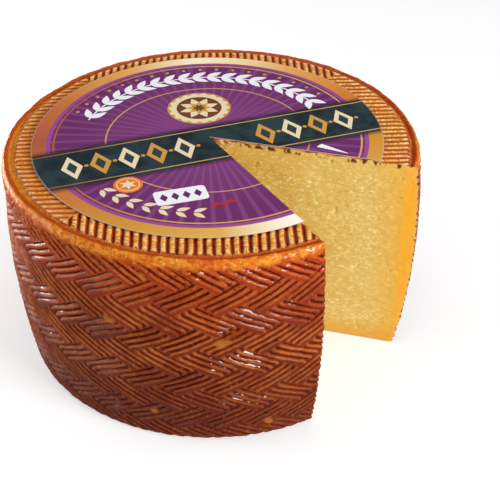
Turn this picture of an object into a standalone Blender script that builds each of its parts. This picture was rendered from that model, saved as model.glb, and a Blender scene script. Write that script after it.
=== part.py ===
"""A whole pressed cheese with a plaited-belt rind, a wedge-shaped notch and a round paper label.

Metres, +Z up. The origin is the middle of the base. The notch opens towards +X and -Y.
"""
import math
import random

import bmesh
import bpy
from mathutils import Vector

# overall form
TOP_Z = 0.1001
FOOT_R = 0.0904
WIDEST_R = 0.0969
WIDEST_Z = 0.0554
RIM_R = 0.0950
FOOT_ROUND = 0.0020
LEAN = (0.00073, 0.00257)

# plaited relief on the side: bundles run two cells one way and one cell the other
PLAITS_ROUND = 33
PLAIT_HEIGHT = 0.02223
PLAIT_ANGLE = 278.3
PLAIT_Z = 0.0702
CREST, GROOVE, VALLEY = 0.0002, -0.0004, -0.0009
STRANDS = [(0.18, CREST), (0.34, GROOVE), (0.50, CREST), (0.66, GROOVE), (0.82, CREST)]
END_DIP = 0.25
FOOT_Z, BAND_Z, BAND_FADE = PLAIT_Z - 25 * PLAIT_HEIGHT / 8, PLAIT_Z + 9 * PLAIT_HEIGHT / 8, 0.0025

# rim and top face, radius and height
RIM_STEPS = 60
RIM = [(0.0951, 0.0977), (0.0944, 0.0992), (0.0936, 0.1000), (0.0928, 0.1000), (0.0919, 0.0991),
       (0.0910, 0.0996), (0.0903, 0.0996), (0.0898, TOP_Z)]
GROOVE_WIDE = 0.00115
GROOVE_DEEP = 0.0009
GROOVE_END_R = 0.0901
MITRE_GAP = 0.0008
# quadrant: turn in degrees, pitch, offset of one groove across the quadrant
QUADRANTS = [(-90, 0.003715, -0.00081), (0, 0.003667, 0.00242), (90, 0.003600, -0.00308),
             (180, 0.003572, 0.00007)]

# notch
APEX = (-0.00184, 0.00171)
CUT_ANGLES = (-61.65, -17.81)
CUT_REACH = 0.130

# small openings in the cut faces: share of the way out, height, size
PITS = 6
PIT_SEED = 11

# label and sticker
GAP = 0.0003
LABEL_R = 0.0808
LABEL_CENTRE = (-0.0023, 0.0014)
LABEL_THICK = 0.0004
STICKER = [(0.0494, -0.0083), (0.0470, -0.0105), (0.0603, -0.0168)]
STICKER_THICK = 0.0003


def mesh_object(name, bm):
    bmesh.ops.recalc_face_normals(bm, faces=bm.faces)
    mesh = bpy.data.meshes.new(name)
    bm.to_mesh(mesh)
    bm.free()
    ob = bpy.data.objects.new(name, mesh)
    bpy.context.scene.collection.objects.link(ob)
    return ob


def side_radius(z):
    """Bulged side: a parabola through foot, widest height and rim."""
    t = z / TOP_Z
    w = WIDEST_Z / TOP_Z
    c = ((WIDEST_R - FOOT_R) / w - (RIM_R - FOOT_R)) / (w - 1)
    b = RIM_R - FOOT_R - c
    return FOOT_R + b * t + c * t * t


def lattice_point(bm, i, j, height):
    """A point of the plait, i cells along one strand direction and j along the other."""
    angle = math.radians(PLAIT_ANGLE + (i + j - 1.5) * 180 / PLAITS_ROUND)
    z = PLAIT_Z + (2 * (j - i) + 1) * PLAIT_HEIGHT / 8
    r = side_radius(z) + height * min(max((BAND_Z - z) / BAND_FADE, 0), 1)
    if z < FOOT_ROUND:
        r -= FOOT_ROUND - math.sqrt(FOOT_ROUND ** 2 - (FOOT_ROUND - max(z, 0)) ** 2)
    return bm.verts.new((r * math.cos(angle), r * math.sin(angle), z))


def bundle(bm, i, j, rising):
    """One flat bundle of three strands, two cells long and one wide, its ends dipping under."""
    def point(along, across, height):
        return lattice_point(bm, i + (across if rising else along), j + (along if rising else across), height)

    edge = [[point(s, t, VALLEY) for s in (0, 1, 2)] for t in (0, 1)]
    top = [[point(s, t, h) for s in (END_DIP, 2 - END_DIP)] for t, h in STRANDS]
    faces = [(edge[0][0], edge[0][1], top[0][0]), (edge[0][1], top[0][1], top[0][0]),
             (edge[0][1], edge[0][2], top[0][1]), (edge[1][0], top[-1][0], edge[1][1]),
             (edge[1][1], top[-1][0], top[-1][1]), (edge[1][1], top[-1][1], edge[1][2])]
    for a, b in zip(top, top[1:]):
        faces += [(a[0], a[1], b[1]), (a[0], b[1], b[0])]
    for end, outer in ((0, 0), (1, 2)):
        for a, b in zip(top, top[1:]):
            faces.append((edge[0][outer], a[end], b[end]) if top.index(a) < 2
                         else (edge[1][outer], a[end], b[end]))
        faces.append((edge[0][outer], edge[1][outer], top[2][end]))
    for f in faces:
        bm.faces.new(f)


def ring(bm, radius, z):
    step = 2 * math.pi / RIM_STEPS
    return [bm.verts.new((radius * math.cos(k * step), radius * math.sin(k * step), z))
            for k in range(RIM_STEPS)]


def turn_of(v):
    return math.atan2(v.co.y, v.co.x) % (2 * math.pi)


def zip_rings(bm, low, high):
    """Triangles between two closed rings with any number of vertices each."""
    low, high = sorted(low, key=turn_of), sorted(high, key=turn_of)
    a = b = 0
    while a < len(low) or b < len(high):
        ta = turn_of(low[a + 1]) if a + 1 < len(low) else 2 * math.pi + (a + 1 - len(low))
        tb = turn_of(high[b + 1]) if b + 1 < len(high) else 2 * math.pi + (b + 1 - len(high))
        if b >= len(high) or (a < len(low) and ta <= tb):
            bm.faces.new((low[a], low[(a + 1) % len(low)], high[b % len(high)]))
            a += 1
        else:
            bm.faces.new((low[a % len(low)], high[(b + 1) % len(high)], high[b]))
            b += 1


def trim(bm, z, up):
    """Cut the plait straight at a height and give the ring of vertices left there."""
    geom = bm.verts[:] + bm.edges[:] + bm.faces[:]
    bmesh.ops.bisect_plane(bm, geom=geom, dist=2e-5, plane_co=(0, 0, z), plane_no=(0, 0, up), clear_outer=True)
    return [v for v in bm.verts if abs(v.co.z - z) < 3e-5]


def wheel_body():
    bm = bmesh.new()
    for d in range(-8, 17):
        for s in range(d % 2, PLAITS_ROUND * 2, 2):
            i, j = (s + d) // 2, (s - d) // 2
            if d % 4 == 0:
                bundle(bm, i, j, False)
            elif d % 4 == 3:
                bundle(bm, i, j, True)
    bmesh.ops.remove_doubles(bm, verts=bm.verts, dist=1e-6)
    top = trim(bm, BAND_Z, 1)
    low = trim(bm, FOOT_Z, -1)
    foot = ring(bm, FOOT_R - FOOT_ROUND, 0)
    zip_rings(bm, foot, low)
    for radius, z in RIM:
        rim = ring(bm, radius, z)
        zip_rings(bm, top, rim)
        top = rim
    bm.faces.new(list(reversed(foot)))
    bm.faces.new(top)
    return mesh_object("cheese_wheel", bm)


def box(bm, x0, x1, y0, y1, z0, z1, turn):
    """A box in a quadrant's own directions, x out from the middle, then turned into place."""
    a = math.radians(turn)
    ca, sa = math.cos(a), math.sin(a)
    v = [bm.verts.new((x * ca - y * sa, x * sa + y * ca, z))
         for z in (z0, z1) for x, y in ((x0, y0), (x1, y0), (x1, y1), (x0, y1))]
    for q in ((3, 2, 1, 0), (4, 5, 6, 7), (0, 1, 5, 4), (1, 2, 6, 5), (2, 3, 7, 6), (3, 0, 4, 7)):
        bm.faces.new([v[k] for k in q])


def groove_cutter():
    bm = bmesh.new()
    half = GROOVE_WIDE / 2
    for turn, pitch, offset in QUADRANTS:
        for k in range(-20, 21):
            y = offset % pitch + k * pitch
            reach = GROOVE_END_R ** 2 - (abs(y) + half) ** 2
            start = abs(y) + half + MITRE_GAP
            if reach <= 0 or math.sqrt(reach) - start < 0.003:
                continue
            box(bm, start, math.sqrt(reach), y - half, y + half, TOP_Z - GROOVE_DEEP, TOP_Z + 0.002, turn)
    return mesh_object("groove_cutter", bm)


def wedge_cutter():
    bm = bmesh.new()
    outline = [APEX] + [(APEX[0] + CUT_REACH * math.cos(math.radians(a)),
                         APEX[1] + CUT_REACH * math.sin(math.radians(a))) for a in CUT_ANGLES]
    face = bm.faces.new([bm.verts.new((x, y, -0.01)) for x, y in outline])
    up = bmesh.ops.extrude_face_region(bm, geom=[face])["geom"]
    bmesh.ops.translate(bm, verts=[g for g in up if isinstance(g, bmesh.types.BMVert)], vec=(0, 0, 0.13))
    return mesh_object("wedge_cutter", bm)


def pit_cutter():
    """Small flattened balls set into the cut faces."""
    rng = random.Random(PIT_SEED)
    bm = bmesh.new()
    for angle in CUT_ANGLES:
        a = math.radians(angle)
        for k in range(PITS):
            out = 0.010 + 0.072 * (k + 0.2 + 0.6 * rng.random()) / PITS
            z = 0.012 + 0.076 * rng.random()
            size = 0.0007 + 0.0008 * rng.random()
            ball = bmesh.ops.create_icosphere(bm, subdivisions=1, radius=size)["verts"]
            bmesh.ops.scale(bm, vec=(1.5, 1.0, 0.8), verts=ball)
            bmesh.ops.rotate(bm, verts=ball, cent=(0, 0, 0), matrix=Vector((0, 0, 1)).rotation_difference(
                Vector((rng.random() - 0.5, rng.random() - 0.5, 1))).to_matrix())
            bmesh.ops.translate(bm, verts=ball,
                                vec=(APEX[0] + out * math.cos(a), APEX[1] + out * math.sin(a), z))
    return mesh_object("pit_cutter", bm)


def plate(name, outline, z0, thick):
    bm = bmesh.new()
    face = bm.faces.new([bm.verts.new((x, y, z0)) for x, y in outline])
    up = bmesh.ops.extrude_face_region(bm, geom=[face])["geom"]
    bmesh.ops.translate(bm, verts=[g for g in up if isinstance(g, bmesh.types.BMVert)], vec=(0, 0, thick))
    return mesh_object(name, bm)


def cut(target, cutter):
    cutter.hide_render = True
    cutter.display_type = "WIRE"
    mod = target.modifiers.new(cutter.name, "BOOLEAN")
    mod.operation = "DIFFERENCE"
    mod.solver = "EXACT"
    mod.object = cutter
    bpy.context.view_layer.objects.active = target
    bpy.ops.object.modifier_apply(modifier=mod.name)


def tidy(ob):
    bm = bmesh.new()
    bm.from_mesh(ob.data)
    bmesh.ops.remove_doubles(bm, verts=bm.verts, dist=0.00001)
    bmesh.ops.dissolve_degenerate(bm, edges=bm.edges, dist=0.00001)
    bmesh.ops.triangulate(bm, faces=bm.faces)
    bm.to_mesh(ob.data)
    bm.free()


def lean_and_centre(pieces):
    """The wheel has settled a little; the middle of its outline is put over the origin."""
    for ob in pieces:
        for v in ob.data.vertices:
            v.co.x += LEAN[0] * (v.co.z / TOP_Z - 0.5)
            v.co.y += LEAN[1] * (v.co.z / TOP_Z - 0.5)
    xs = [v.co.x for v in pieces[0].data.vertices]
    ys = [v.co.y for v in pieces[0].data.vertices]
    dx, dy = (min(xs) + max(xs)) / 2, (min(ys) + max(ys)) / 2
    for ob in pieces:
        for v in ob.data.vertices:
            v.co.x -= dx
            v.co.y -= dy


def paint(ob, colour, rough):
    mat = bpy.data.materials.new(ob.name)
    mat.use_nodes = True
    shader = mat.node_tree.nodes["Principled BSDF"]
    shader.inputs["Base Color"].default_value = (*colour, 1)
    shader.inputs["Roughness"].default_value = rough
    ob.data.materials.clear()
    ob.data.materials.append(mat)


for old in list(bpy.data.objects):
    bpy.data.objects.remove(old, do_unlink=True)

wheel = wheel_body()
notch = wedge_cutter()
cut(wheel, groove_cutter())
cut(wheel, notch)
cut(wheel, pit_cutter())

circle = [(LABEL_CENTRE[0] + LABEL_R * math.cos(math.radians(a)),
           LABEL_CENTRE[1] + LABEL_R * math.sin(math.radians(a))) for a in range(0, 360, 3)]
label = plate("paper_label", circle, TOP_Z + GAP, LABEL_THICK)
sticker = plate("sticker_corner", STICKER, TOP_Z + 2 * GAP + LABEL_THICK, STICKER_THICK)
cut(label, notch)
cut(sticker, notch)

for piece in (wheel, label, sticker):
    tidy(piece)
lean_and_centre([wheel, label, sticker])
paint(wheel, (0.36, 0.10, 0.02), 0.4)
paint(label, (0.20, 0.05, 0.20), 0.4)
paint(sticker, (0.85, 0.85, 0.85), 0.5)
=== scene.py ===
"""A whole wheel of pressed sheep's-milk cheese with a wedge cut out and a round paper label.

Metres, +Z up, origin in the middle of the base. The notch opens towards +X and -Y.
"""
import math

import bmesh
import bpy
import numpy as np
from mathutils import Matrix, Vector, noise


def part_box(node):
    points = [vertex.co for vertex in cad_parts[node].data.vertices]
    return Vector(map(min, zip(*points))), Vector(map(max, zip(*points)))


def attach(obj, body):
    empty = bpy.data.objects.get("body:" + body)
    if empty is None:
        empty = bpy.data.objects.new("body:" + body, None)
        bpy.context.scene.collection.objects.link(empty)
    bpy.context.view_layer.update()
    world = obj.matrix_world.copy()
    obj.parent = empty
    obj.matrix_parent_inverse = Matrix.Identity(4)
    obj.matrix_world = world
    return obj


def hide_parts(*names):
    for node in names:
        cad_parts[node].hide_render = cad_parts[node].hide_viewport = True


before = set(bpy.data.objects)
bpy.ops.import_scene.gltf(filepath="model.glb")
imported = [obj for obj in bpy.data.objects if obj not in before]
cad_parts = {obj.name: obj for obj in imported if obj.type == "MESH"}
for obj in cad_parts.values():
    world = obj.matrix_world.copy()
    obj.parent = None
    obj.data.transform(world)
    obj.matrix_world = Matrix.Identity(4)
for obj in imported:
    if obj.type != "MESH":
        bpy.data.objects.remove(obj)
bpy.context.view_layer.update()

# Wheel form. The wheel leans a little, so every round piece is made upright and then leaned
WHEEL_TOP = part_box("cheese_wheel")[1].z
FOOT_R, WIDEST_R, RIM_R = 0.0904, 0.0969, 0.0950
WIDEST_Z = 0.0554
FOOT_ROUND = 0.0020
LEAN = Vector((0.00073, 0.00257))
CENTRING = Vector((0.000104, 0.000367))

# Plait on the side. One cell of it starts at the angle and height given, and the others repeat from
# there. Strands lie in bundles, side by side between grooves. Above BAND_Z the side is smooth
PLAITS_ROUND, PLAITS_UP, PLAITS_BELOW = 33, 6, 3
PLAIT_HEIGHT = 0.02223
PLAIT_ANGLE = math.radians(278.3)
PLAIT_Z = 0.0702
PLAIT_STEP = math.radians(360 / PLAITS_ROUND)
ACROSS_SAMPLES = (0, 0.05, 0.10, 0.17, 0.25, 0.315, 0.365, 0.415, 0.48, 0.565, 0.63, 0.68, 0.73,
                  0.80, 0.88, 0.95)
FIRST_GROOVE, GROOVE_GAP = 0.05, 0.315
PLAIT_DEEP = 0.0012
VALLEY = 0.72
STRAND_SLANT, STRAND_RISE = 0.0016, math.radians(31)
BUNDLE_LONG, BUNDLE_WIDE = 0.0215, 0.0105
KNOT_HEIGHT = 0.7
BAND_Z = 0.0952
NOISE_R = 0.097

# Rim: radius and height from the top of the plait over the lip into the ring groove. The lip stands
# out most at one angle, and the groove's dark ring moves out with it
RIM = ((0.0952, 0.0974), (0.0948, 0.09805), (0.0944, 0.0987), (0.0939, 0.0995), (0.0932, 0.0998),
       (0.0926, 0.0995), (0.0921, 0.0991), (0.0915, 0.0990), (0.0910, 0.0993), (0.0900, 0.0999),
       (0.0890, 0.1001))
LIP_FLARE, FLARE_ANGLE = 0.0014, math.radians(184)
RING_R, RING_SHIFT = 0.0918, 0.0028

# Reach over which the outline's slope is measured, and where the rind parts into front and rear
SLOPE_REACH = 4e-4
REAR_RIND_Y = 0.02

# Ridges on the top face: quarter turn, pitch, offset of a groove, depth of the painted shade, strength of
# the painted glints at the ends
QUADRANTS = ((-90, 0.003715, -0.00081, 1.0, 0.25), (0, 0.003667, 0.00242, 0.55, 0.8),
             (90, 0.003600, -0.00308, 0.75, 0.95), (180, 0.003572, 0.00007, 0.45, 0.5))
RIDGE_END_R = 0.0907
RIDGE_DEEP = 0.0009

# Notch: its tip, the directions of its two faces, and the depth of openings in them
APEX = Vector((-0.00184, 0.00171))
FRONT_CUT, REAR_CUT = math.radians(-61.65), math.radians(-17.81)
MID_CUT = (FRONT_CUT + REAR_CUT) / 2
CUT_REACH, LABEL_CUT_REACH = 0.114, 0.12
PIT_DEEP, CRACK_DEEP = 0.0008, 0.0005

# Label. The ink's films are rooted a little below the paper's top
LABEL_LOW, LABEL_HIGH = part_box("paper_label")
LABEL_R = (LABEL_HIGH.x - LABEL_LOW.x) / 2
LABEL_CENTRE = (LABEL_LOW + LABEL_HIGH) / 2
BAND_TILT, BAND_DROP, BAND_HALF = math.radians(17), 0.0060, 0.0155
INK, INK_ROOT = 0.00002, 0.00001

# Where every lamp looks
AIM = Vector((0, 0, 0.05))


def lean(x, y, z):
    """Moves upright coordinates to the leaning, centred wheel."""
    share = z / WHEEL_TOP - 0.5
    return x + LEAN.x * share - CENTRING.x, y + LEAN.y * share - CENTRING.y


def named(ob, name):
    ob.name = ob.data.name = name
    return ob


def active(name):
    return named(bpy.context.object, name)


def only(ob):
    bpy.ops.object.select_all(action="DESELECT")
    ob.select_set(True)
    bpy.context.view_layer.objects.active = ob


def read(ob):
    co = np.empty(len(ob.data.vertices) * 3)
    ob.data.vertices.foreach_get("co", co)
    return co.reshape(-1, 3)


def write(ob, co):
    ob.data.vertices.foreach_set("co", np.asarray(co, float).ravel())
    ob.data.update()


def edit(ob, *steps):
    """Runs edit-mode operators on everything in one object."""
    only(ob)
    bpy.ops.object.mode_set(mode="EDIT")
    bpy.ops.mesh.select_all(action="SELECT")
    for action in steps:
        action()
    bpy.ops.object.mode_set(mode="OBJECT")


def thicken(ob, up):
    """Raises a flat sheet into a closed piece."""
    edit(ob, lambda: bpy.ops.mesh.extrude_region_move(TRANSFORM_OT_translate={"value": (0, 0, up)}),
         lambda: bpy.ops.mesh.select_all(action="SELECT"),
         lambda: bpy.ops.mesh.normals_make_consistent(inside=False))


def apply(ob):
    only(ob)
    for mod in list(ob.modifiers):
        bpy.ops.object.modifier_apply(modifier=mod.name)


def carve(ob, cutter):
    """Takes one closed piece out of another, with the cutter's own finish on the new faces."""
    mod = ob.modifiers.new("carve", "BOOLEAN")
    mod.operation = "DIFFERENCE"
    mod.solver = "MANIFOLD"
    mod.material_mode = "TRANSFER"
    mod.object = cutter
    apply(ob)
    bpy.data.objects.remove(cutter)


def field(points, size, seed):
    """Smooth noise, about -1 to 1, at rows of points."""
    shift = Vector((seed * 7.13, seed * 3.71, seed * 5.37))
    return np.array([noise.noise(Vector(p) / size + shift) for p in points])


def note(ob, name, values):
    """Stores one number, or one row of three, at every point for the finish to read."""
    values = np.asarray(values, float)
    kind, key = ("FLOAT_VECTOR", "vector") if values.ndim == 2 else ("FLOAT", "value")
    ob.data.attributes.new(name, kind, "POINT").data.foreach_set(key, values.ravel())


def step(low, high, value):
    """Smooth change from 0 to 1 while the value goes from low to high."""
    t = np.clip((value - low) / (high - low), 0, 1)
    return t * t * (3 - 2 * t)


# The wheel's rind

def side_radius(z):
    """Radius of the side: a parabola through the foot, the widest place and the rim."""
    t, w = z / WHEEL_TOP, WIDEST_Z / WHEEL_TOP
    c = ((WIDEST_R - FOOT_R) / w - (RIM_R - FOOT_R)) / (w - 1)
    return FOOT_R + (RIM_R - FOOT_R - c) * t + c * t * t


def rind_profile():
    """The wheel's outline as (travel, radius, height): travel is the height up the side."""
    under = 0.0060
    rows = [(-under, FOOT_R - FOOT_ROUND - under, 0.0), (0.0, FOOT_R - FOOT_ROUND, 0.0)]
    for k in range(1, 7):
        a = math.radians(15 * k)
        z = FOOT_ROUND * (1 - math.cos(a))
        rows.append((max(z, 0.0001), side_radius(z) - FOOT_ROUND * (1 - math.sin(a)), z))
    for z in np.linspace(FOOT_ROUND + 0.001, BAND_Z, 60):
        rows.append((z, side_radius(z), z))
    for r, z in RIM:
        rows.append((rows[-1][0] + math.hypot(r - rows[-1][1], z - rows[-1][2]), r, z))
    return np.array(rows)


def outline_at(profile, travel):
    """Radius and height of the outline at each travel."""
    return [np.interp(travel, profile[:, 0], profile[:, column]) for column in (1, 2)]


def plait_coordinates(angle, travel):
    """Cell coordinates along the falling and the rising strands."""
    total = (angle - PLAIT_ANGLE) / (PLAIT_STEP / 2) + 1.5
    rise = ((travel - PLAIT_Z) / (PLAIT_HEIGHT / 8) - 1) / 2
    return (total - rise) / 2, (total + rise) / 2


def plait_relief(i, j):
    """Height of the plait, place across the strand, place along and across the bundle, the bundle's
    number, how open its ends are, and the strands' slant aside and upwards."""
    fi, fj = np.floor(i + 1e-9), np.floor(j + 1e-9)
    kind = np.mod(fi - fj, 4)
    rising = kind >= 2
    across = np.where(rising, i - fi, j - fj)
    start = np.where(rising, fj - (kind == 2), fi - (kind == 1))
    along = np.where(rising, j, i) / 2 - start / 2
    bundle = np.where(rising, fi * 131.7 + start * 17.3 + 57.1, fj * 91.3 + start * 23.9)
    down = np.where(rising, across, 1 - across)
    place = np.mod((down - FIRST_GROOVE) / GROOVE_GAP, 1)
    strand = 1 - np.abs(2 * place - 1) ** 1.5
    blend = step(0, 0.045, down) * step(1.0, 0.87, down)
    strand = VALLEY + (np.where(down < FIRST_GROOVE, 0, strand) - VALLEY) * blend
    strand = np.where(down > 0.9, np.maximum(strand, VALLEY), strand)
    crown = 1 - 0.22 * np.abs(2 * along - 1) ** 2
    length = step(-0.02, 0.055, along) * step(1.02, 0.945, along)
    height = VALLEY + (strand * crown - VALLEY) * length
    room = step(0, 0.08, along) * step(1, 0.92, along) * step(0, 0.08, across) * step(1, 0.92, across)
    slide = STRAND_SLANT * (along - 0.5) * room
    rise = np.where(rising, -slide, slide) * math.cos(STRAND_RISE)
    return height, place, along, across, bundle, length, slide * math.sin(STRAND_RISE), rise


def plait_sheet():
    """The plait laid out flat, four cells repeated round the wheel and up the side."""
    n = len(ACROSS_SAMPLES)
    bpy.ops.mesh.primitive_grid_add(x_subdivisions=4 * n, y_subdivisions=n, size=1)
    sheet = active("plait")
    co = read(sheet)
    grid_i = np.rint((co[:, 0] + 0.5) * 4 * n).astype(int)
    grid_j = np.rint((co[:, 1] + 0.5) * n).astype(int)
    samples = np.array(ACROSS_SAMPLES)
    i = grid_i // n + samples[grid_i % n]
    j = np.ceil(grid_j / n) - samples[-grid_j % n]
    x = (i + j) * PLAIT_STEP / 2
    y = PLAIT_Z + (2 * (j - i) + 1) * PLAIT_HEIGHT / 8 - PLAITS_BELOW * PLAIT_HEIGHT
    write(sheet, np.stack([x, y, np.zeros(len(x))], -1))
    for count, offset in ((PLAITS_ROUND, (PLAIT_STEP, 0, 0)), (PLAITS_UP, (0, PLAIT_HEIGHT, 0))):
        mod = sheet.modifiers.new("repeat", "ARRAY")
        mod.count = count
        mod.use_relative_offset = False
        mod.use_constant_offset = True
        mod.constant_offset_displace = offset
    apply(sheet)
    return sheet


def rind_body():
    """The uncut wheel: the plait rolled up, closed at the base and at the top."""
    profile = rind_profile()
    bottom, top = profile[0, 0], profile[-1, 0]
    sheet = plait_sheet()
    edit(sheet, lambda: bpy.ops.mesh.remove_doubles(threshold=1e-5))
    for height, side in ((bottom, -1), (top, 1)):
        edit(sheet, lambda: bpy.ops.mesh.bisect(plane_co=(0, height, 0), plane_no=(0, side, 0),
                                                clear_outer=True, threshold=1e-6))
    flat = read(sheet)
    angle = flat[:, 0] + PLAIT_ANGLE - 0.75 * PLAIT_STEP
    travel = np.clip(flat[:, 1], bottom, top)
    i, j = plait_coordinates(angle, travel)
    height, place, along, across, bundle, length, aside, rise = plait_relief(i, j)

    # How far the plait shows, where it is crackled under the rim, and where knots of wax fill it
    ring = np.stack([np.cos(angle) * NOISE_R, np.sin(angle) * NOISE_R, travel], -1)
    fade = step(BAND_Z + 0.0028 + 0.0016 * field(ring, 0.008, 1), BAND_Z - 0.0022, travel)
    crackle = step(BAND_Z - 0.011, BAND_Z - 0.002, travel) * step(BAND_Z + 0.0042, BAND_Z + 0.001, travel)
    fade *= step(-0.0005, 0.0012, travel)
    wax = step(0.60, 0.78, field(ring, 0.011, 2) + 0.35 * field(ring, 0.004, 3))

    # Each bundle has a tone and a height of its own
    own = np.modf(np.abs(np.sin(bundle * 12.9898)) * 437.5)[0]
    height = VALLEY + (height - VALLEY) * (0.80 + 0.30 * own)
    height += 0.17 * field(ring, 0.0014, 4) + 0.10 * field(ring, 0.007, 9)
    height = np.maximum(height, wax * KNOT_HEIGHT)
    out = fade * PLAIT_DEEP * (np.minimum(height, 1.0) - 1)
    out -= crackle * (0.00022 + 0.00055 * field(ring, 0.0016, 10))
    rim = step(BAND_Z - 0.0008, BAND_Z + 0.0030, travel + 0.0018 * field(ring, 0.006, 11))
    out += rim * (0.00038 * field(ring, 0.007, 5) + 0.00020 * field(ring, 0.0022, 6))
    flare = np.clip(np.cos(angle - FLARE_ANGLE), 0, 1) ** 6
    lip = step(BAND_Z - 0.012, BAND_Z + 0.0005, travel) * step(top - 0.0018, top - 0.0050, travel)

    # The relief stands off square to the outline, and the flare straight outwards
    r, z = outline_at(profile, travel)
    ahead, above = np.subtract(outline_at(profile, travel + SLOPE_REACH),
                               outline_at(profile, travel - SLOPE_REACH))
    size = np.hypot(ahead, above) + 1e-12
    ends = (travel <= bottom + 1e-6) | (travel >= top - 1e-6)
    out = np.where(ends | (travel < 0), 0, out)
    r = r + LIP_FLARE * flare * lip + out * above / size
    z = z - out * ahead / size

    # Strands and bundles run a little unevenly
    calm = step(0, 0.01, travel) * step(BAND_Z, BAND_Z - 0.02, travel)
    warp = (0.0007 * field(ring, 0.030, 7) + 0.00028 * field(ring, 0.0055, 12)) * calm
    turn = (0.006 * field(ring, 0.035, 8) + 0.0026 * field(ring, 0.0055, 13)) * calm
    warp += rise * calm
    turn += aside / WIDEST_R * calm
    write(sheet, np.stack([r * np.cos(angle + turn), r * np.sin(angle + turn), z + warp], -1))
    # hollow sets the painted shade in the grooves, flank the painted shade on each strand's lower flank,
    # crest the painted highlight on its upper flank
    note(sheet, "hollow", fade * (1 - height))
    note(sheet, "smooth", fade * (1 - length))
    note(sheet, "flank", fade * length * step(0.36, 0.72, place))
    note(sheet, "crest", fade * length * step(0.08, 0.22, place) * step(0.56, 0.34, place))
    note(sheet, "wax", wax * fade)
    note(sheet, "tone", own)
    note(sheet, "rim", rim)
    note(sheet, "ring", step(0.0016, 0.0008, np.abs(r - RING_R - RING_SHIFT * flare)) * rim)
    note(sheet, "amber", flare * rim)
    note(sheet, "strand", np.stack([along * BUNDLE_LONG, across * BUNDLE_WIDE,
                                    np.mod(bundle, 97) * 0.013], -1))
    edit(sheet, lambda: bpy.ops.mesh.remove_doubles(threshold=2e-6),
         lambda: bpy.ops.mesh.select_all(action="DESELECT"),
         lambda: bpy.ops.mesh.select_non_manifold(),
         lambda: bpy.ops.mesh.fill_holes(sides=0),
         lambda: bpy.ops.mesh.select_all(action="SELECT"),
         lambda: bpy.ops.mesh.normals_make_consistent(inside=False))
    return sheet


# The ridged face

def ridge_depth(y, radius, pitch, offset):
    """Depth of the ridged face below the wheel's top."""
    phase = np.mod((y - offset) / pitch, 1)
    from_groove = np.minimum(phase, 1 - phase)
    groove = (1 - 2 * from_groove) ** 1.8 + 0.10 * step(0.12, 0.02, from_groove)
    end = step(RIDGE_END_R - 0.0016, RIDGE_END_R, radius)
    return np.maximum(RIDGE_DEEP * groove * (1 - 0.4 * end), 0.0005 * end)


def ridge_cutter(turn, pitch, offset, quarter_shade, end_glint):
    """Everything above one quarter of the ridged face."""
    shares = (0, 0.08, 0.16, 0.24, 0.36, 0.5, 0.64, 0.76, 0.84, 0.92)
    reach = RIDGE_END_R + 0.0008
    limit = reach * math.sin(math.pi / 4) - 0.0004
    ridges = int(limit / pitch) + 1
    rows = 18
    bpy.ops.mesh.primitive_grid_add(x_subdivisions=2 * ridges * len(shares), y_subdivisions=rows, size=1)
    ob = active("ridges")
    co = read(ob)
    column = np.rint((co[:, 0] + 0.5) * 2 * ridges * len(shares)).astype(int)
    y = offset + pitch * (column // len(shares) - ridges + np.array(shares)[column % len(shares)])
    y = np.clip(y, -limit, limit)
    v = 1 - (0.5 - co[:, 1]) ** 2
    inner, outer = np.abs(y) - 0.0002, np.sqrt(reach ** 2 - y ** 2)
    x = inner + (outer - inner) * v
    ca, sa = math.cos(math.radians(turn)), math.sin(math.radians(turn))
    place = np.stack([x * ca - y * sa, x * sa + y * ca, np.zeros(len(x))], -1)
    wobble = 0.00022 * field(place, 0.006, 20 + turn) + 0.00010 * field(place, 0.0018, 24 + turn)
    depth = ridge_depth(y + wobble, np.hypot(x, y) + 0.0003 * field(place, 0.004, 21 + turn), pitch, offset)
    depth += 0.00007 * field(place, 0.0012, 22) + 0.00006
    place[:, 2] = WHEEL_TOP - depth
    write(ob, place)
    note(ob, "hollow", depth / RIDGE_DEEP)
    note(ob, "front", np.full(len(x), quarter_shade))
    # Painted glints where the ridges' tops end near the rim
    note(ob, "tip", step(RIDGE_END_R - 0.0030, RIDGE_END_R - 0.0012, np.hypot(x, y))
         * step(0.7, 0.35, depth / RIDGE_DEEP) * end_glint)
    note(ob, "ridge", np.stack([x, y, np.full(len(x), 0.01 * turn)], -1))
    edit(ob, lambda: bpy.ops.mesh.remove_doubles(threshold=1e-6))
    thicken(ob, 0.004)
    return ob


# The cut faces

def paste_relief(out, z, side):
    """How far the cut surface stands off its plane: drags of the knife, crumbs, pits and the torn tip."""
    points = np.stack([out, z, np.full(len(out), side * 0.31)], -1)
    rough = 0.00007 * field(points, 0.0011, 30) + 0.00011 * field(points, 0.0035, 31)
    drag = 0.00010 * field(np.stack([out * 0.5 + z, (z - out) * 0.12, points[:, 2]], -1), 0.0018, 32)
    pits = (-PIT_DEEP * step(0.50, 0.68, field(points, 0.0022, 33))
            * step(0.10, 0.30, field(points, 0.019, 38)))
    cracks = (-CRACK_DEEP * step(0.030, 0.0, np.abs(field(points, 0.013, 34)))
              * step(0.22, 0.4, field(points, 0.03, 35)))
    torn = step(0.020, 0.002, out) * (0.00035 * field(points, 0.0022, 36)
                                      + 0.0005 * field(points, 0.006, 37))
    edge = step(0, 0.0015, z) * step(WHEEL_TOP + 0.001, WHEEL_TOP - 0.0015, z) * step(0.0, 0.002, out)
    return (rough + drag + pits + cracks + torn) * edge


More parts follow.
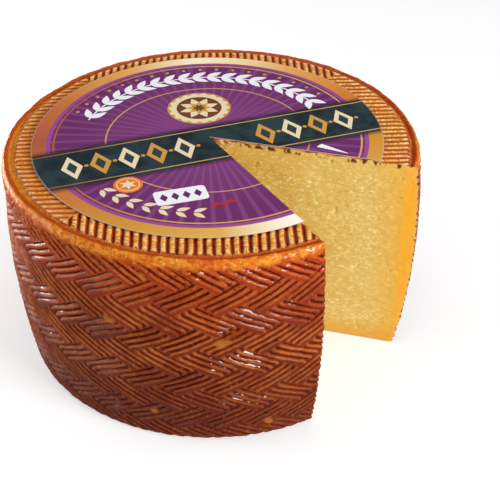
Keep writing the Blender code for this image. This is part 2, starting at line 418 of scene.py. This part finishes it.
def wedge_cutter():
    """The missing wedge: one sheet folded at the notch's tip, its two faces rough, then closed."""
    columns, rows = 150, 160
    low, high = -0.004, WHEEL_TOP + 0.006
    bpy.ops.mesh.primitive_grid_add(x_subdivisions=2 * columns, y_subdivisions=rows, size=1)
    ob = active("wedge")
    co = read(ob)
    along = co[:, 0] * 2 * CUT_REACH
    out, z = np.abs(along), low + (co[:, 1] + 0.5) * (high - low)
    rear = along > 0
    turn = np.where(rear, REAR_CUT, FRONT_CUT)
    lift = paste_relief(out, z, np.where(rear, 1.0, 2.0))
    away = np.where(rear, 1.0, -1.0)
    x = APEX.x + out * np.cos(turn) + lift * away * np.sin(turn)
    y = APEX.y + out * np.sin(turn) - lift * away * np.cos(turn)
    write(ob, np.stack([x, y, z], -1))
    note(ob, "out", out)
    note(ob, "hollow", np.clip(-lift / PIT_DEEP, 0, 1))
    bm = bmesh.new()
    bm.from_mesh(ob.data)
    width = 2 * columns + 1
    bm.verts.ensure_lookup_table()
    verts = bm.verts[:(rows + 1) * width]
    bm.faces.new(verts[:width])
    bm.faces.new(verts[-width:])
    bm.faces.new([verts[k * width] for k in range(rows + 1)]
                 + [verts[k * width + width - 1] for k in reversed(range(rows + 1))])
    bmesh.ops.recalc_face_normals(bm, faces=bm.faces)
    bm.to_mesh(ob.data)
    bm.free()
    return ob


def finish_with(ob, *finishes):
    ob.data.materials.clear()
    for finish in finishes:
        ob.data.materials.append(finish)


def build_wheel():
    """The wheel carved as one closed piece, then parted along the borders of its finishes."""
    rind, face, paste = rind_finish(), face_finish(), paste_finish()
    wheel = rind_body()
    finish_with(wheel, rind)
    for cutter in [ridge_cutter(*quadrant) for quadrant in QUADRANTS]:
        finish_with(cutter, face)
        carve(wheel, cutter)
    wedge = wedge_cutter()
    finish_with(wedge, paste)
    carve(wheel, wedge)
    x, y, z = read(wheel).T
    x, y = lean(x, y, z)
    write(wheel, np.stack([x, y, z], -1))
    edit(wheel, lambda: bpy.ops.mesh.separate(type="MATERIAL"))
    parts = {ob.data.materials[0].name: ob for ob in bpy.context.selected_objects}
    pieces = [named(parts[finish.name], name) for finish, name in (
        (rind, "rind"), (face, "ridged_face"), (paste, "cut_faces"))]
    pieces.append(part_off(pieces[0], "rind_rear", lambda c: c.y > REAR_RIND_Y))
    named(pieces[0], "rind_front")
    pieces.append(part_off(pieces[2], "cut_face_rear",
                           lambda c: c.y - APEX.y > math.tan(MID_CUT) * (c.x - APEX.x)))
    named(pieces[2], "cut_face_front")
    for ob in pieces:
        only(ob)
        bpy.ops.object.shade_smooth_by_angle(angle=math.radians(50))
        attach(ob, "root")
        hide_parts("cheese_wheel")


def part_off(ob, name, wanted):
    """Makes the faces whose middles are wanted a piece of their own."""
    for face in ob.data.polygons:
        face.select = wanted(face.center)
    for vert in ob.data.vertices:
        vert.select = False
    for edge in ob.data.edges:
        edge.select = False
    only(ob)
    bpy.ops.object.mode_set(mode="EDIT")
    bpy.ops.mesh.select_mode(type="FACE")
    bpy.ops.mesh.separate(type="SELECTED")
    bpy.ops.mesh.select_mode(type="VERT")
    bpy.ops.object.mode_set(mode="OBJECT")
    return named(next(o for o in bpy.context.selected_objects if o != ob), name)


# Finishes

class Finish:
    """A finish under construction: each call adds one node and gives back its output."""

    def __init__(self, name):
        self.material = bpy.data.materials.new(name)
        self.material.use_nodes = True
        self.tree = self.material.node_tree
        self.shader = self.tree.nodes["Principled BSDF"]

    def node(self, kind, inputs=(), output=0, **settings):
        made = self.tree.nodes.new(kind)
        for key, value in settings.items():
            setattr(made, key, value)
        for key, value in dict(inputs).items():
            self.put(made.inputs[key], value)
        return made.outputs[output]

    def put(self, socket, value):
        if isinstance(value, bpy.types.NodeSocket):
            self.tree.links.new(value, socket)
        elif isinstance(value, tuple) and len(value) == 3 and socket.type == "RGBA":
            socket.default_value = (*value, 1)
        else:
            socket.default_value = value

    def read(self, name, output="Fac"):
        return self.node("ShaderNodeAttribute", attribute_name=name, output=output)

    def place(self):
        return self.node("ShaderNodeTexCoord", output="Object")

    def mapped(self, vector, scale=(1, 1, 1), move=(0, 0, 0), turn=0.0):
        return self.node("ShaderNodeMapping", {"Vector": vector, "Location": move, "Scale": scale,
                                               "Rotation": (0, 0, turn)})

    def speckle(self, vector, size, detail=3.0, roughness=0.55, twist=0.0):
        return self.node("ShaderNodeTexNoise", {"Vector": vector, "Scale": 1 / size, "Detail": detail,
                                                "Roughness": roughness, "Distortion": twist})

    def calc(self, operation, a, b=0.0):
        return self.node("ShaderNodeMath", {0: a, 1: b}, operation=operation)

    def times(self, a, b):
        return self.calc("MULTIPLY", a, b)

    def gap(self, value, target):
        """How far one value is from another."""
        return self.calc("ABSOLUTE", self.calc("SUBTRACT", value, target))

    def span(self, value, low, high, to_low=0.0, to_high=1.0):
        """Smooth change from one value to the other while the input goes from low to high."""
        return self.node("ShaderNodeMapRange", {"Value": value, "From Min": low, "From Max": high,
                                                "To Min": to_low, "To Max": to_high},
                         interpolation_type="SMOOTHSTEP")

    def mix(self, share, a, b):
        made = self.tree.nodes.new("ShaderNodeMix")
        made.data_type = "RGBA"
        self.put(made.inputs["Factor"], share)
        self.put(made.inputs[6], a)
        self.put(made.inputs[7], b)
        return made.outputs[2]

    def ramp(self, value, stops):
        made = self.node("ShaderNodeValToRGB", {"Fac": value}).node
        points = made.color_ramp.elements
        for k, (at, colour) in enumerate(stops):
            point = points[k] if k < 2 else points.new(at)
            point.position, point.color = at, (*colour, 1)
        return made.outputs["Color"]

    def scale_colour(self, colour, value):
        """Darkens or lightens a colour by a number."""
        return self.node("ShaderNodeVectorMath", {0: colour, "Scale": value}, operation="SCALE")

    def bump(self, height, distance, strength=1.0, under=None):
        inputs = {"Height": height, "Distance": distance, "Strength": strength}
        if under is not None:
            inputs["Normal"] = under
        return self.node("ShaderNodeBump", inputs)

    def done(self, colour, roughness, normal=None, **steady):
        self.put(self.shader.inputs["Base Color"], colour)
        self.put(self.shader.inputs["Roughness"], roughness)
        if normal is not None:
            self.put(self.shader.inputs["Normal"], normal)
        for name, value in steady.items():
            self.put(self.shader.inputs[name.replace("_", " ")], value)
        return self.material


def rgb(red, green, blue):
    """A screen colour, 0 to 255, as the shader's linear one."""
    def linear(v):
        v /= 255
        return v / 12.92 if v <= 0.04045 else ((v + 0.055) / 1.055) ** 2.4
    return (linear(red), linear(green), linear(blue))


def rind_finish():
    """Waxed, plaited rind: warm brown strands, ochre wax, an orange rim, with painted shade in the hollows,
    on the strands' lower flanks and towards the base, and painted highlights on their upper flanks and
    towards the rim.
    """
    f = Finish("waxed_rind")
    here = f.place()
    height = f.node("ShaderNodeSeparateXYZ", {0: here}, output="Z")
    strand = f.read("strand", "Vector")
    hollow, tone, rim = f.read("hollow"), f.read("tone"), f.read("rim")
    fibres = f.speckle(f.mapped(strand, scale=(0.10, 1, 1)), 0.00075, 2.0)
    clouds = f.speckle(here, 0.016, 4.0, 0.6, 0.4)
    fine = f.speckle(here, 0.0016, 4.0, 0.65)
    brown = f.mix(tone, rgb(99, 27, 5), rgb(122, 40, 7))
    brown = f.mix(f.span(clouds, 0.42, 0.68), brown, rgb(143, 58, 10))
    brown = f.mix(f.span(fibres, 0.35, 0.75, 0, 0.4), brown, rgb(166, 78, 20))
    # Painted shade and painted light: darker towards the base, brighter orange towards the rim
    brown = f.mix(f.span(height, 0.055, 0.004, 0, 0.75), brown, rgb(76, 23, 5))
    brown = f.mix(f.span(height, 0.074, 0.094, 0, 0.70), brown, rgb(168, 66, 9))
    # The red of the smooth places is also darker towards the base: painted shade
    red = f.mix(f.span(height, 0.050, 0.090), rgb(74, 15, 3), rgb(126, 33, 5))
    brown = f.mix(f.times(f.read("smooth"), 0.6), brown, red)
    dark = f.mix(f.span(clouds, 0.40, 0.62), rgb(50, 9, 4), rgb(78, 18, 6))
    # Painted highlight on the upper flank of each strand, broken into patches, its tan darker towards the
    # base as painted shade
    tan = f.mix(f.span(height, 0.012, 0.060), rgb(115, 58, 27), rgb(176, 99, 46))
    highlight_patches = f.times(f.span(clouds, 0.36, 0.62, 0.15, 0.75), f.span(fine, 0.36, 0.56, 0.45, 1))
    colour = f.mix(f.times(f.read("crest"), highlight_patches), brown, tan)
    # Painted shade: red on the lower flank of each strand
    colour = f.mix(f.times(f.read("flank"), 0.85), colour, red)
    # Painted shade: red, then dark, deeper in the grooves and hollows
    colour = f.mix(f.span(hollow, 0.28, 0.60, 0, 0.5), colour, red)
    colour = f.mix(f.span(hollow, 0.48, 0.92), colour, dark)
    colour = f.mix(f.span(fine, 0.57, 0.68, 0, 0.45), colour, rgb(172, 86, 22))
    colour = f.mix(f.times(f.span(height, 0.078, 0.092), f.span(fine, 0.44, 0.34)), colour,
                   rgb(90, 17, 3))
    colour = f.mix(f.times(f.read("wax"), 0.75), colour, rgb(160, 92, 26))
    patches = f.mix(f.span(f.speckle(here, 0.008, 4.0, 0.65, 0.6), 0.40, 0.62),
                    rgb(186, 84, 18), rgb(208, 132, 38))
    patches = f.mix(f.span(f.speckle(here, 0.0026, 4.0, 0.6), 0.47, 0.62, 0, 0.75), patches,
                    rgb(164, 64, 16))
    patches = f.mix(f.span(fine, 0.56, 0.68, 0, 0.6), patches, rgb(232, 178, 72))
    patches = f.mix(f.times(f.read("amber"), 0.6), patches, rgb(222, 138, 34))
    patches = f.mix(f.times(f.read("ring"), 0.85), patches, rgb(166, 58, 8))
    colour = f.mix(rim, colour, patches)
    lines = f.bump(fibres, 0.00020, 0.6)
    skin = f.bump(fine, 0.00055, 0.8, lines)
    rough = f.span(f.speckle(here, 0.006, 3.0), 0.35, 0.7, 0.40, 0.60)
    return f.done(colour, rough, skin, Coat_Weight=0.06, Coat_Roughness=0.07, Coat_IOR=2.2,
                  Specular_IOR_Level=0.03, Specular_Tint=(1.0, 0.55, 0.35, 1.0))


def face_finish():
    """The ridged face: golden ridges with painted highlights as pale flecks and glints at their ends,
    between red-brown grooves darkened by painted shade.
    """
    f = Finish("ridged_face")
    here = f.place()
    hollow, front = f.read("hollow"), f.read("front")
    clouds = f.speckle(here, 0.009, 4.0, 0.6, 0.3)
    fine = f.speckle(here, 0.0010, 4.0, 0.65)
    rope = f.speckle(f.mapped(f.read("ridge", "Vector"), scale=(1, 0.4, 1), turn=0.7), 0.0011, 3.0, 0.55)
    gold = f.mix(f.span(clouds, 0.38, 0.64), rgb(215, 144, 52), rgb(235, 180, 88))
    # Painted highlight: pale flecks on the raised parts of the rope
    gold = f.mix(f.span(rope, 0.50, 0.64, 0, 0.8), gold, rgb(249, 213, 150))
    gold = f.mix(f.span(rope, 0.46, 0.36, 0, 0.65), gold, rgb(178, 88, 18))
    # Painted shade: the left quarter's ridges turn darker orange
    gold = f.mix(f.span(front, 0.55, 0.45, 0, 0.62), gold, rgb(200, 120, 36))
    # Painted highlight: near-white glints at the ridges' outer ends
    gold = f.mix(f.times(f.read("tip"), f.span(fine, 0.40, 0.56, 0.35, 1)), gold,
                 rgb(252, 236, 200))
    # Painted shade: grooves darkest in the front quarter, more rust-coloured in the others
    rust = f.mix(front, rgb(188, 108, 32), rgb(164, 62, 12))
    dark = f.mix(f.span(clouds, 0.4, 0.65), rgb(116, 28, 6), rgb(154, 58, 14))
    dark = f.mix(front, rust, dark)
    # Painted shade: the grooves darken from gold to rust to dark with their depth
    colour = f.mix(f.span(hollow, 0.20, 0.48), gold, rust)
    colour = f.mix(f.span(hollow, 0.42, 0.78), colour, dark)
    skin = f.bump(rope, 0.00030, 0.6, f.bump(fine, 0.00020, 0.6))
    return f.done(colour, f.span(fine, 0.4, 0.6, 0.35, 0.55), skin, Coat_Weight=0.06,
                  Coat_Roughness=0.10, Coat_IOR=2.0, Specular_IOR_Level=0.15,
                  Specular_Tint=(1.0, 0.75, 0.5, 1.0))


def paste_finish():
    """Cut cured paste: pale straw inside, amber under the rind, crumbly, with small openings."""
    f = Finish("cut_paste")
    here = f.place()
    out, hollow = f.read("out"), f.read("hollow")
    height = f.node("ShaderNodeSeparateXYZ", {0: here}, output="Z")
    clouds = f.speckle(here, 0.020, 4.0, 0.5, 0.5)
    curd = f.speckle(f.mapped(here, scale=(1, 1, 1.6)), 0.0030, 5.0, 0.60)
    grain = f.speckle(here, 0.0008, 3.0, 0.6)
    flecks = f.speckle(f.mapped(here, scale=(1, 1, 2.2)), 0.0016, 4.0, 0.7, 0.8)
    colour = f.mix(f.span(clouds, 0.36, 0.64), rgb(190, 156, 72), rgb(199, 170, 91))
    colour = f.mix(f.span(out, 0.030, 0.055, 0, 0.5), colour, rgb(204, 178, 102))
    colour = f.mix(f.span(curd, 0.52, 0.70, 0, 0.6), colour, rgb(230, 214, 152))
    colour = f.mix(f.span(curd, 0.46, 0.32, 0, 0.4), colour, rgb(196, 144, 44))
    colour = f.mix(f.span(flecks, 0.56, 0.66, 0, 0.75), colour, rgb(238, 224, 176))
    colour = f.mix(f.span(out, 0.074, 0.093, 0, 0.70), colour, rgb(208, 156, 46))
    colour = f.mix(f.span(out, 0.0885, 0.0950, 0, 0.9), colour, rgb(222, 156, 30))
    colour = f.mix(f.span(height, 0.086, 0.0990, 0, 0.35), colour, rgb(206, 164, 72))
    colour = f.mix(f.span(height, 0.014, 0.001, 0, 0.7), colour, rgb(204, 146, 40))
    spots = f.span(f.speckle(f.mapped(here, scale=(1, 1, 0.5)), 0.0034, 2.0), 0.50, 0.58)
    colour = f.mix(f.times(spots, f.span(height, 0.0970, 0.0984)), colour, rgb(100, 26, 8))
    torn = f.span(out, 0.016, 0.003)
    colour = f.mix(f.times(torn, f.span(curd, 0.42, 0.60)), colour, rgb(232, 208, 160))
    stain = f.times(f.span(out, 0.009, 0.002), f.span(height, 0.095, 0.0985))
    colour = f.mix(f.times(stain, f.span(curd, 0.58, 0.44)), colour, rgb(142, 70, 22))
    # Painted shade: slightly darker amber in the pits, cracks and other dips
    colour = f.mix(f.span(hollow, 0.35, 1.0, 0, 0.6), colour, rgb(196, 128, 40))
    skin = f.bump(grain, 0.00014, 0.6, f.bump(curd, 0.0004, 0.45))
    return f.done(colour, f.span(grain, 0.35, 0.65, 0.40, 0.58), skin, Subsurface_Weight=0.30,
                  Subsurface_Radius=(0.005, 0.0032, 0.0016), Subsurface_Scale=0.6, Specular_IOR_Level=0.35,
                  Specular_Tint=(1.0, 0.85, 0.6, 1.0))


def label_finish():
    """Printed paper: a gilt border, a purple field with faint rays and a slate band across."""
    f = Finish("printed_label")
    here = f.mapped(f.place(), move=(-LABEL_CENTRE.x, -LABEL_CENTRE.y, 0))
    axes = f.node("ShaderNodeSeparateXYZ", {0: here}).node
    x, y = axes.outputs["X"], axes.outputs["Y"]
    radius = f.node("ShaderNodeVectorMath", {0: f.mapped(here, scale=(1, 1, 0))},
                    operation="LENGTH", output="Value")
    angle = f.calc("ARCTAN2", y, x)
    turn = f.calc("ADD", f.calc("DIVIDE", angle, 2 * math.pi), 0.5)
    # The gilt border's printed gold, with painted reflections nearly white at two places round it and
    # painted shade, dark copper, on the left
    gilt = f.ramp(turn, ((0.0, rgb(170, 88, 62)), (0.10, rgb(196, 118, 56)), (0.19, rgb(206, 148, 58)),
                         (0.26, rgb(220, 172, 80)), (0.30, rgb(246, 228, 192)), (0.33, rgb(252, 246, 236)),
                         (0.40, rgb(220, 170, 80)), (0.50, rgb(206, 138, 50)), (0.58, rgb(204, 124, 46)),
                         (0.66, rgb(226, 164, 88)), (0.72, rgb(246, 220, 168)), (0.76, rgb(252, 238, 206)),
                         (0.83, rgb(228, 170, 84)), (0.92, rgb(198, 114, 62)), (1.0, rgb(170, 88, 62))))
    rays = f.calc("SINE", f.times(angle, 64.0))
    purple = f.mix(f.span(radius, 0.070, 0.012, 0.1, 1), rgb(104, 40, 96), rgb(126, 60, 120))
    purple = f.mix(f.span(rays, 0.2, 0.9, 0, 0.30), purple, rgb(150, 96, 152))
    tilted = f.node("ShaderNodeSeparateXYZ", {0: f.mapped(here, turn=-BAND_TILT)}, output="Y")
    off_band = f.calc("ABSOLUTE", f.calc("ADD", tilted, BAND_DROP))
    slate = f.mix(f.span(f.speckle(here, 0.012, 4.0, 0.6), 0.35, 0.65), rgb(24, 38, 44), rgb(44, 60, 64))
    colour = purple
    # The thin gold lines turn dark copper towards the left: painted shade
    thin = f.mix(f.span(x, -0.010, -0.070), rgb(206, 160, 92), rgb(170, 92, 54))
    for at, half, paint in ((0.0470, 0.0003, rgb(206, 158, 92)), (0.0707, 0.0004, thin),
                            (0.0731, 0.0010, rgb(150, 74, 140))):
        colour = f.mix(f.span(f.gap(radius, at), half + 0.0001, half), colour, paint)
    colour = f.mix(f.span(radius, 0.0740, 0.0742), colour, gilt)
    colour = f.mix(f.span(off_band, BAND_HALF + 0.0035, BAND_HALF, 0, 0.6), colour, rgb(40, 20, 36))
    colour = f.mix(f.span(off_band, BAND_HALF, BAND_HALF - 0.0002), colour, slate)
    colour = f.mix(f.span(f.gap(off_band, BAND_HALF - 0.0022), 0.00040, 0.0003), colour, thin)
    colour = f.mix(f.span(radius, LABEL_R - 0.0004, LABEL_R - 0.0002, 0, 0.3), colour, rgb(226, 212, 196))
    # Painted shade: the paper's edge is greyed
    colour = f.mix(f.calc("LESS_THAN", axes.outputs["Z"], LABEL_HIGH.z - 0.00008), colour,
                   rgb(172, 164, 162))
    paper = f.speckle(here, 0.0007, 3.0, 0.6)
    waves = f.speckle(here, 0.030, 1.0)
    skin = f.bump(waves, 0.0012, 0.4, f.bump(paper, 0.00003, 0.5))
    return f.done(colour, 0.6, skin, Specular_IOR_Level=0.1)


def paper_finish(name, colour):
    """Plain printed or bare paper with a faint tooth."""
    f = Finish(name)
    tooth = f.speckle(f.place(), 0.0006, 3.0, 0.6)
    shade = f.scale_colour(colour, f.span(tooth, 0.3, 0.7, 0.94, 1.04))
    return f.done(shade, 0.6, f.bump(tooth, 0.00004, 0.5), Specular_IOR_Level=0.1)


# The label and what is printed on it

def carve_notch(ob):
    """Cuts a flat piece along the notch, with a cylinder of three sides moved to the notch's corners."""
    bpy.ops.mesh.primitive_cylinder_add(vertices=3, radius=1, depth=0.02, end_fill_type="NGON")
    wedge = active("notch")
    corners = [(0, 0)] + [(LABEL_CUT_REACH * math.cos(cut), LABEL_CUT_REACH * math.sin(cut))
                          for cut in (FRONT_CUT, REAR_CUT)]
    co = read(wedge)
    turns = sorted({round(math.atan2(v[1], v[0]), 3) for v in co})
    for v in co:
        cx, cy = corners[turns.index(round(math.atan2(v[1], v[0]), 3))]
        v[0], v[1] = lean(APEX.x + cx, APEX.y + cy, WHEEL_TOP)
        v[2] = WHEEL_TOP + v[2]
    write(wedge, co)
    edit(wedge, lambda: bpy.ops.mesh.normals_make_consistent(inside=False))
    finish_with(wedge, *ob.data.materials)
    carve(ob, wedge)


def build_label():
    bpy.ops.mesh.primitive_circle_add(vertices=256, radius=LABEL_R, fill_type="NGON",
                                      location=(LABEL_CENTRE.x, LABEL_CENTRE.y, LABEL_LOW.z))
    label = active("paper_label_print")
    bpy.ops.object.transform_apply(location=True)
    thicken(label, LABEL_HIGH.z - LABEL_LOW.z)
    finish_with(label, label_finish())
    carve_notch(label)
    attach(label, "root")
    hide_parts("paper_label")


def build_sticker():
    finish_with(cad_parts["sticker_corner"], paper_finish("white_sticker", rgb(240, 240, 246)))


def outline_disc(radius, lobes=0, depth=0.0, points=48):
    turns = [2 * math.pi * k / points for k in range(points)]
    return [(radius * (1 + depth * math.cos(lobes * t)) * math.cos(t),
             radius * (1 + depth * math.cos(lobes * t)) * math.sin(t)) for t in turns]


def outline_leaf(length, width):
    shares = [k / 8 for k in range(9)]
    upper = [(length * t, width * math.sin(math.pi * t ** 0.8)) for t in shares[1:]]
    lower = [(length * t, -width * math.sin(math.pi * t ** 0.8)) for t in reversed(shares[:-1])]
    return upper + lower


def outline_star(radius, inner, rays):
    return [((radius, inner)[k % 2] * math.cos(math.pi * k / rays + math.pi / 2),
             (radius, inner)[k % 2] * math.sin(math.pi * k / rays + math.pi / 2)) for k in range(2 * rays)]


def outline_panel(width, tall, corner):
    return [(sx * (width / 2 - corner) + corner * math.cos(math.radians(a)),
             sy * (tall / 2 - corner) + corner * math.sin(math.radians(a)))
            for sx, sy, start in ((1, 1, 0), (-1, 1, 90), (-1, -1, 180), (1, -1, 270))
            for a in (start, start + 30, start + 60, start + 90)]


def outline_arc(radius, half, start, end):
    turns = [math.radians(start + (end - start) * k / 60) for k in range(61)]
    return ([((radius + half) * math.cos(t), (radius + half) * math.sin(t)) for t in turns]
            + [((radius - half) * math.cos(t), (radius - half) * math.sin(t)) for t in reversed(turns)])


def stamp(name, finish, outline, spots, layer=1):
    """Prints one flat shape at every spot (x, y, turn, size) of the label, as a film of ink."""
    bpy.ops.object.select_all(action="DESELECT")
    bpy.ops.mesh.primitive_circle_add(vertices=len(outline), radius=1, fill_type="NGON")
    first = active(name)
    shape = np.array(outline)
    prints = []
    for x, y, turn, size in spots:
        only(first)
        bpy.ops.object.duplicate()
        ob = bpy.context.object
        ca, sa = math.cos(math.radians(turn)) * size, math.sin(math.radians(turn)) * size
        write(ob, np.stack([LABEL_CENTRE.x + x + shape[:, 0] * ca - shape[:, 1] * sa,
                            LABEL_CENTRE.y + y + shape[:, 0] * sa + shape[:, 1] * ca,
                            np.full(len(shape), LABEL_HIGH.z - INK_ROOT)], -1))
        prints.append(ob)
    bpy.data.objects.remove(first)
    bpy.ops.object.select_all(action="DESELECT")
    for ob in prints:
        ob.select_set(True)
    bpy.context.view_layer.objects.active = prints[0]
    if len(prints) > 1:
        bpy.ops.object.join()
    ob = active(name)
    thicken(ob, INK_ROOT + INK * layer)
    finish_with(ob, finish)
    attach(ob, "root")


def around(radius, start, end, count, lead=0.0):
    """Spots along an arc of the label, each turned with it."""
    turns = [start + (end - start) * k / (count - 1) for k in range(count)]
    return [(radius * math.cos(math.radians(t)), radius * math.sin(math.radians(t)), t + lead, 1.0)
            for t in turns]


def on_band(along):
    """A place on the middle line of the label's band."""
    ca, sa = math.cos(BAND_TILT), math.sin(BAND_TILT)
    return along * ca + BAND_DROP * sa, along * sa - BAND_DROP * ca


def print_ornaments():
    """A garland, a rosette, a starred seal, a row of lozenges and small marks, all plain shapes."""
    white, gold, cream, brown, plum, amber, red, slate = (
        paper_finish(name + "_ink", rgb(*colour)) for name, colour in (
            ("white", (240, 238, 242)), ("gold", (204, 150, 72)), ("cream", (232, 214, 176)),
            ("brown", (112, 62, 36)), ("plum", (98, 44, 104)), ("amber", (232, 122, 34)),
            ("red", (186, 44, 30)), ("slate", (46, 62, 66))))

    leaf = outline_leaf(0.0088, 0.0018)
    stamp("garland_outer_leaves", white, leaf, around(0.0595, 160, 34, 19, lead=-58), 1)
    stamp("garland_inner_leaves", white, leaf, around(0.0585, 160, 34, 19, lead=-122), 2)
    stamp("garland_stem", white, outline_arc(0.0590, 0.00035, 31, 162), [(0, 0, 0, 1)], 3)
    stamp("garland_berries", gold, outline_disc(0.0009, points=12), around(0.0672, 157, 36, 18))

    centre = (-0.0040, 0.0275)
    stamp("rosette_edge", gold, outline_disc(0.0152, points=64), [(*centre, 0, 1)], 1)
    stamp("rosette_ruff", cream, outline_disc(0.0140, 18, 0.05, 108), [(*centre, 0, 1)], 2)
    stamp("rosette_ground", brown, outline_disc(0.0108), [(*centre, 0, 1)], 3)
    petal = outline_leaf(0.0098, 0.0022)
    stamp("rosette_petals", cream, petal, [(*centre, 45 * k + 22.5, 1) for k in range(8)], 4)
    stamp("rosette_inner_petals", gold, petal, [(*centre, 45 * k, 0.62) for k in range(8)], 5)
    stamp("rosette_heart", brown, outline_disc(0.0018, points=24), [(*centre, 0, 1)], 6)

    lozenge = outline_star(0.0098, 0.0050, 2)
    small = outline_star(0.0052, 0.0025, 2)
    apart = 0.0130
    places = [-0.0650 + apart * k for k in range(11)]
    clear = [p for p in places if not in_notch(*on_band(p), 0.0095)]
    turn = math.degrees(BAND_TILT)
    stamp("band_lozenges", cream, lozenge, [(*on_band(p), turn, 1) for p in clear[::2]], 1)
    stamp("band_lozenges_gold", gold, lozenge, [(*on_band(p), turn, 1) for p in clear[1::2]], 1)
    stamp("band_lozenge_hearts", slate, small, [(*on_band(p), turn, 1) for p in clear], 2)
    between = [p + apart / 2 for p in clear if not in_notch(*on_band(p + apart / 2), 0.002)]
    stamp("band_beads", gold, outline_disc(0.0010, points=16), [(*on_band(p), 0, 1) for p in between], 1)

    seal = (-0.0350, -0.0395)
    stamp("seal_disc", amber, outline_disc(0.0064, 24, 0.02, 96), [(*seal, 0, 1)], 1)
    stamp("seal_ring", cream, outline_disc(0.0052), [(*seal, 0, 1)], 2)
    stamp("seal_ground", amber, outline_disc(0.0047), [(*seal, 0, 1)], 3)
    stamp("seal_star", cream, outline_star(0.0040, 0.0018, 6), [(*seal, 10, 1)], 4)

    panel = (-0.0120, -0.0490)
    turn = 14
    stamp("panel", white, outline_panel(0.0230, 0.0110, 0.0018), [(*panel, turn, 1)], 1)
    ca, sa = math.cos(math.radians(turn)), math.sin(math.radians(turn))
    marks = [(panel[0] + t * ca, panel[1] + t * sa, turn, 1) for t in (-0.0075, -0.0025, 0.0025, 0.0075)]
    stamp("panel_lozenges", plum, outline_star(0.0030, 0.0018, 2), marks, 2)
    chevron = [(-0.003, -0.001), (0, 0.001), (0.003, -0.001), (0.003, 0.0007), (0, 0.0027),
               (-0.003, 0.0007)]
    stamp("small_chevrons", red, chevron,
          [(0.0040 + 0.0056 * k, -0.0575 + 0.0020 * k, 16, 1) for k in (0, 1)], 1)
    sprig = outline_leaf(0.0062, 0.0013)
    stamp("sprig_outer_leaves", cream, sprig, around(0.0632, 223, 264, 7, lead=60), 1)
    stamp("sprig_inner_leaves", cream, sprig, around(0.0622, 223, 264, 7, lead=120), 2)


def in_notch(x, y, room):
    """Whether a spot of the label lies in the notch or nearer to it than the room given."""
    x, y = x + LABEL_CENTRE.x - APEX.x, y + LABEL_CENTRE.y - APEX.y
    turn = math.atan2(y, x)
    reach = math.hypot(x, y)
    slack = room / max(reach, 1e-6)
    return reach < room or FRONT_CUT - slack < turn < REAR_CUT + slack


# Stage, light and camera

def build_stage():
    bpy.ops.mesh.primitive_plane_add(size=6, location=(0, 0, -0.0002))
    floor = active("floor")
    bpy.ops.object.transform_apply(location=True)
    f = Finish("pale_floor")
    finish_with(floor, f.done((0.56, 0.56, 0.56), 0.9, Emission_Color=(1, 1, 1), Emission_Strength=0.44))
    world = bpy.data.worlds.new("studio")
    bpy.context.scene.world = world
    world.use_nodes = True
    sky = world.node_tree.nodes["Background"].inputs
    sky["Color"].default_value, sky["Strength"].default_value = (1, 1, 1, 1), 0.30
    softbox("key", (0.744, -0.694, 0.396), 0.50, 0.09, 13.0)
    softbox("left_low", (-0.46, 0.36, 0.035), 0.40, 0.05, 4.4)
    softbox("left", (-1.10, 0.08, 0.38), 0.45, 0.70, 7.2)
    softbox("right", (1.10, 0.10, 0.55), 0.45, 0.70, 2.0)
    softbox("front", (-0.10, -1.15, 0.75), 0.8, 0.5, 1.2)
    softbox("above", (-0.05, 0.10, 1.1), 1.0, 1.0, 2.4)


def softbox(name, place, width, tall, watts):
    """A rectangular lamp that looks at the wheel's middle."""
    light = bpy.data.lights.new(name, "AREA")
    light.shape = "RECTANGLE"
    light.size, light.size_y, light.energy = width, tall, watts
    ob = bpy.data.objects.new(name, light)
    ob.location = place
    ob.rotation_euler = (AIM - Vector(place)).to_track_quat("-Z", "Y").to_euler()
    bpy.context.scene.collection.objects.link(ob)


def build_camera():
    """The photograph's view, found by fitting the wheel's outline, label and cuts."""
    distance, elevation = 0.608, math.radians(38.51)
    pan, tilt, roll = math.radians(1.64), math.radians(2.83), math.radians(-1.55)
    back = Vector((0, -math.cos(elevation), math.sin(elevation)))
    right = Vector((1, 0, 0))
    up = right.cross(-back)
    ahead = (-back * math.cos(pan) * math.cos(tilt) + right * math.sin(pan) * math.cos(tilt)
             + up * math.sin(tilt))
    right = ahead.cross(up).normalized()
    up = right.cross(ahead)
    across = right * math.cos(roll) + up * math.sin(roll)
    above = up * math.cos(roll) - right * math.sin(roll)
    data = bpy.data.cameras.new("camera")
    data.sensor_width, data.lens = 36, 85.81
    camera = bpy.data.objects.new("camera", data)
    x, y = lean(0, 0, WHEEL_TOP)
    camera.matrix_world = Matrix((across, above, -ahead)).transposed().to_4x4()
    camera.location = Vector((x, y, 0)) + back * distance
    bpy.context.scene.collection.objects.link(camera)
    bpy.context.scene.camera = camera


build_wheel()
build_label()
print_ornaments()
build_sticker()
build_stage()
build_camera()
bpy.context.scene.view_settings.view_transform = "Standard"
